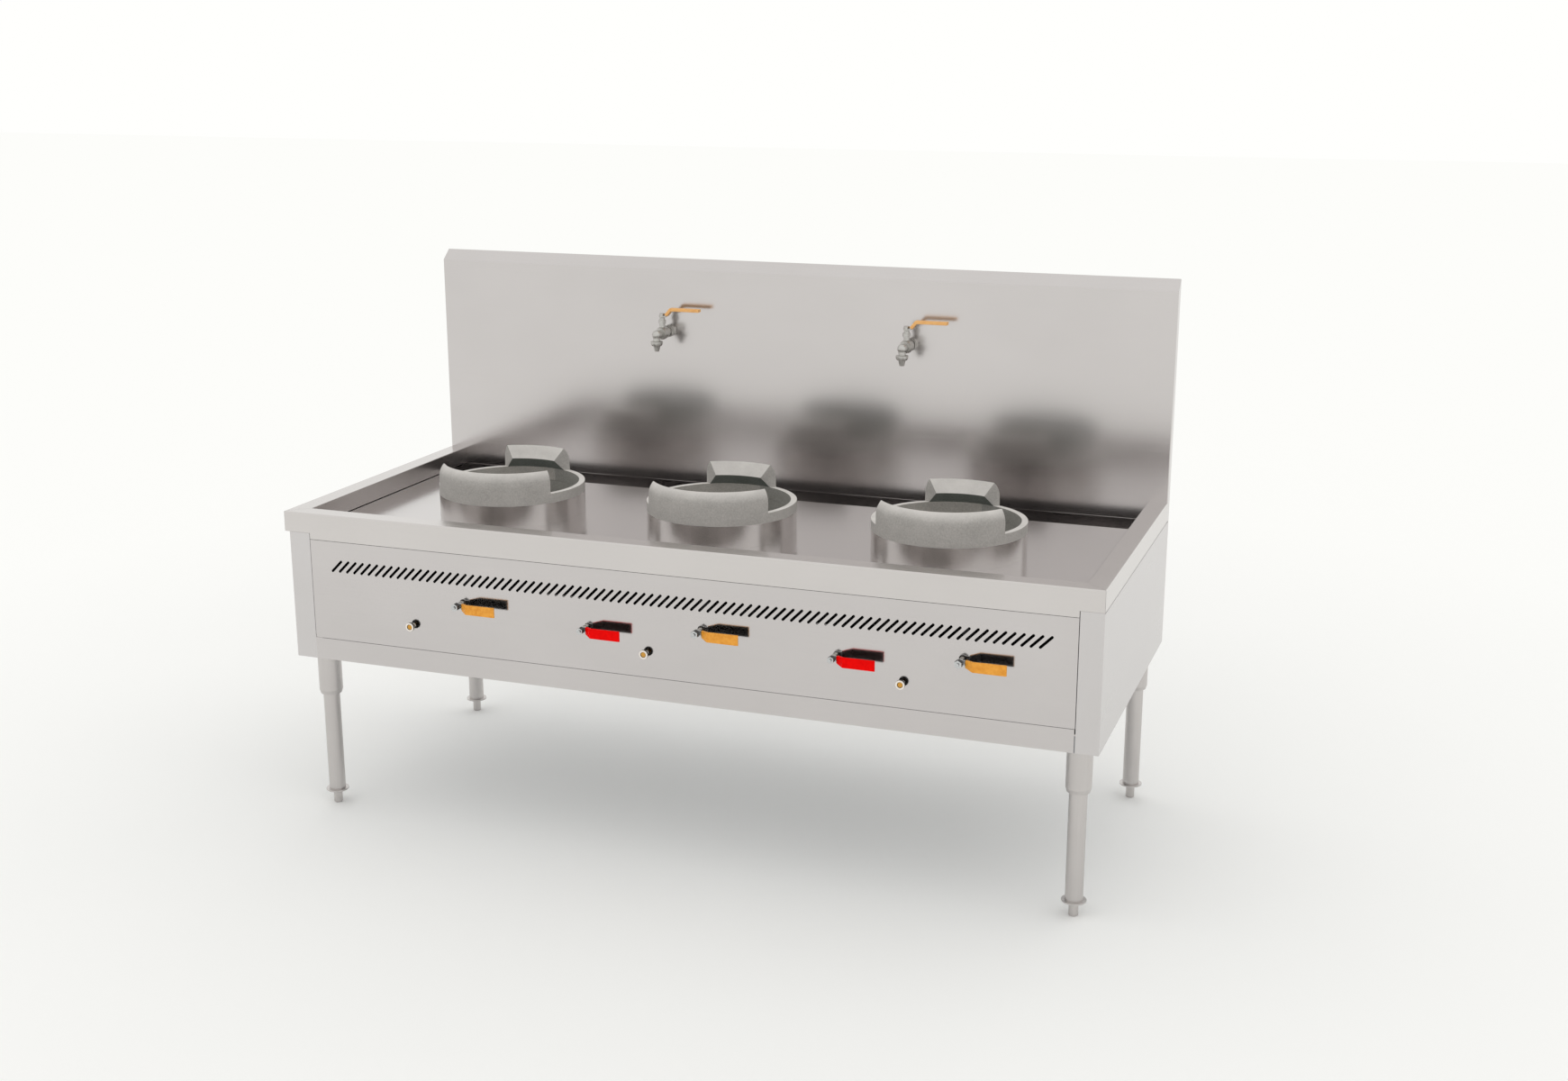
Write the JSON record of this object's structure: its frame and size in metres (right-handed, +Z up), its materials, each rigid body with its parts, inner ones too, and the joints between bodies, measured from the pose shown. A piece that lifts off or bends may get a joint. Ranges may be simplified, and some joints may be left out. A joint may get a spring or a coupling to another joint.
{
  "type": "gas wok range",
  "caption": "Free-standing gas wok range: sunk deck with lift-off cast rings, rear trough, tall splashback with lever taps, lever valves on the front, tubular legs with screw feet.",
  "frame": {"origin": "on the floor under the middle of the body", "axes": "+X to the right seen from the front, +Y from the front towards the splashback, +Z up"},
  "size_m": [2.1, 0.961, 1.378],
  "materials": {
    "stainless_sheet": "fine brushed, satin",
    "chamber_steel": "brushed round the cylinder",
    "frame_steel": "mill finish",
    "cast_iron": "sand cast, light grey coating",
    "fire_clay": "rough fired clay",
    "jet_brass": "turned",
    "valve_brass": "nickel plated",
    "gas_pipe": "dull black",
    "water_pipe": "satin",
    "tap_chrome": "polished",
    "lever_steel": "zinc plated",
    "orange_grip": "dipped vinyl",
    "red_grip": "dipped vinyl",
    "pilot_white": "moulded",
    "leg_steel": "satin",
    "screw_steel": "zinc plated"
  },
  "bodies": {
    "range_body": {"rim_front": "stainless_sheet", "rim_left": "stainless_sheet", "rim_right": "stainless_sheet", "deck_plate": "stainless_sheet", "rear_trough": "stainless_sheet", "splashback_front": "stainless_sheet", "splashback_cover": "stainless_sheet", "side_panel_left": "stainless_sheet", "side_panel_right": "stainless_sheet", "back_panel": "stainless_sheet", "front_panel": "stainless_sheet", "bottom_rail": "stainless_sheet", "bottom_panel": "stainless_sheet", "burner_chamber_1": "chamber_steel", "burner_chamber_2": "chamber_steel", "burner_chamber_3": "chamber_steel", "base_frame": "frame_steel", "deck_frame": "frame_steel", "splash_posts": "frame_steel", "burner_heads": "cast_iron", "chamber_linings": "fire_clay", "burner_jets": "jet_brass", "ball_valves": "valve_brass", "pilot_valves": "valve_brass", "gas_manifold": "gas_pipe", "burner_pipes": "gas_pipe", "pilot_burners": "gas_pipe", "water_pipes": "water_pipe", "drain_outlet": "water_pipe", "tap_bodies": "tap_chrome", "leg_sleeves": "leg_steel", "leg_tubes": "leg_steel", "rear_screws": "screw_steel"},
    "wok_ring_1": {"wok_ring_1": "cast_iron"},
    "wok_ring_2": {"wok_ring_2": "cast_iron"},
    "wok_ring_3": {"wok_ring_3": "cast_iron"},
    "gas_lever_1": {"gas_lever_1": "lever_steel", "gas_grip_1": "orange_grip"},
    "gas_lever_2": {"gas_lever_2": "lever_steel", "gas_grip_2": "orange_grip"},
    "gas_lever_3": {"gas_lever_3": "lever_steel", "gas_grip_3": "orange_grip"},
    "water_lever_1": {"water_lever_1": "lever_steel", "water_grip_1": "red_grip"},
    "water_lever_2": {"water_lever_2": "lever_steel", "water_grip_2": "red_grip"},
    "tap_lever_1": {"tap_lever_1": "tap_chrome", "tap_grip_1": "orange_grip"},
    "tap_lever_2": {"tap_lever_2": "tap_chrome", "tap_grip_2": "orange_grip"},
    "pilot_button_1": {"pilot_knob_1": "pilot_white", "pilot_core_1": "jet_brass"},
    "pilot_button_2": {"pilot_knob_2": "pilot_white", "pilot_core_2": "jet_brass"},
    "pilot_button_3": {"pilot_knob_3": "pilot_white", "pilot_core_3": "jet_brass"},
    "foot_front_left": {"foot_front_left": "leg_steel"},
    "foot_front_right": {"foot_front_right": "leg_steel"},
    "foot_rear_left": {"foot_rear_left": "leg_steel"},
    "foot_rear_right": {"foot_rear_right": "leg_steel"}
  },
  "joints": [
    {"name": "ring_1_lift", "type": "slide", "parent": "range_body", "child": "wok_ring_1", "axis": [0, 0, 1], "range_m": [0, 0.15]},
    {"name": "ring_2_lift", "type": "slide", "parent": "range_body", "child": "wok_ring_2", "axis": [0, 0, 1], "range_m": [0, 0.15]},
    {"name": "ring_3_lift", "type": "slide", "parent": "range_body", "child": "wok_ring_3", "axis": [0, 0, 1], "range_m": [0, 0.15]},
    {"name": "gas_lever_1_turn", "type": "hinge", "parent": "range_body", "child": "gas_lever_1", "pos_m": [-0.551, -0.442, 0.606], "axis": [0, -1, 0], "range_deg": [0, 90]},
    {"name": "gas_lever_2_turn", "type": "hinge", "parent": "range_body", "child": "gas_lever_2", "pos_m": [0.0895, -0.442, 0.606], "axis": [0, -1, 0], "range_deg": [0, 90]},
    {"name": "gas_lever_3_turn", "type": "hinge", "parent": "range_body", "child": "gas_lever_3", "pos_m": [0.73, -0.442, 0.606], "axis": [0, -1, 0], "range_deg": [0, 90]},
    {"name": "water_lever_1_turn", "type": "hinge", "parent": "range_body", "child": "water_lever_1", "pos_m": [-0.21, -0.442, 0.582], "axis": [0, -1, 0], "range_deg": [0, 90]},
    {"name": "water_lever_2_turn", "type": "hinge", "parent": "range_body", "child": "water_lever_2", "pos_m": [0.4285, -0.442, 0.582], "axis": [0, -1, 0], "range_deg": [0, 90]},
    {"name": "tap_lever_1_turn", "type": "hinge", "parent": "range_body", "child": "tap_lever_1", "pos_m": [-0.346, 0.365, 1.18], "axis": [0, 0, -1], "range_deg": [0, 90]},
    {"name": "tap_lever_2_turn", "type": "hinge", "parent": "range_body", "child": "tap_lever_2", "pos_m": [0.354, 0.365, 1.18], "axis": [0, 0, -1], "range_deg": [0, 90]},
    {"name": "pilot_1_push", "type": "slide", "parent": "range_body", "child": "pilot_button_1", "axis": [0, 1, 0], "range_m": [0, 0.006], "stiffness_N_per_m": 800, "springref_m": -0.002},
    {"name": "pilot_2_push", "type": "slide", "parent": "range_body", "child": "pilot_button_2", "axis": [0, 1, 0], "range_m": [0, 0.006], "stiffness_N_per_m": 800, "springref_m": -0.002},
    {"name": "pilot_3_push", "type": "slide", "parent": "range_body", "child": "pilot_button_3", "axis": [0, 1, 0], "range_m": [0, 0.006], "stiffness_N_per_m": 800, "springref_m": -0.002},
    {"name": "foot_front_left_screw", "type": "slide", "parent": "range_body", "child": "foot_front_left", "axis": [0, 0, -1], "range_m": [0, 0.03]},
    {"name": "foot_front_right_screw", "type": "slide", "parent": "range_body", "child": "foot_front_right", "axis": [0, 0, -1], "range_m": [0, 0.03]},
    {"name": "foot_rear_left_screw", "type": "slide", "parent": "range_body", "child": "foot_rear_left", "axis": [0, 0, -1], "range_m": [0, 0.03]},
    {"name": "foot_rear_right_screw", "type": "slide", "parent": "range_body", "child": "foot_rear_right", "axis": [0, 0, -1], "range_m": [0, 0.03]}
  ]
}
